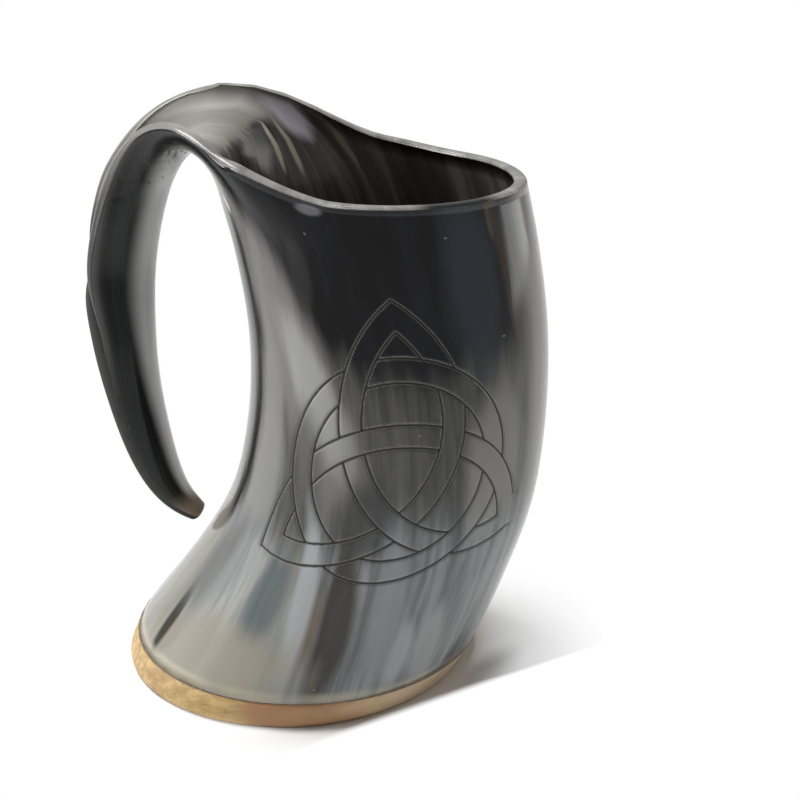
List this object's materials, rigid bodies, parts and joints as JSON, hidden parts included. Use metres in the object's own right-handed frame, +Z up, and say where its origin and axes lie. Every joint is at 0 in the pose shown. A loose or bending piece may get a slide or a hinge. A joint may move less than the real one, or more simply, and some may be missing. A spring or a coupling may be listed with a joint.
{
  "type": "horn drinking cup",
  "caption": "Horn drinking cup with a handle bent back from the horn's own tip, closed below by a glued wooden foot",
  "frame": {"origin": "middle of the foot's underside, on the table", "axes": "Z up, -X towards the handle, Y across the cup; the picture looks roughly along +Y from above"},
  "size_m": [0.136, 0.1058, 0.1631],
  "materials": {
    "horn": "polished horn, streaked dark and light",
    "foot_wood": "lightly oiled wood",
    "glue": "dark hardened glue",
    "seal": "smooth dark seal"
  },
  "bodies": {
    "root": {"horn_shell": "horn", "wooden_foot": "foot_wood", "glue_line": "glue", "floor_seal": "seal"}
  },
  "joints": []
}
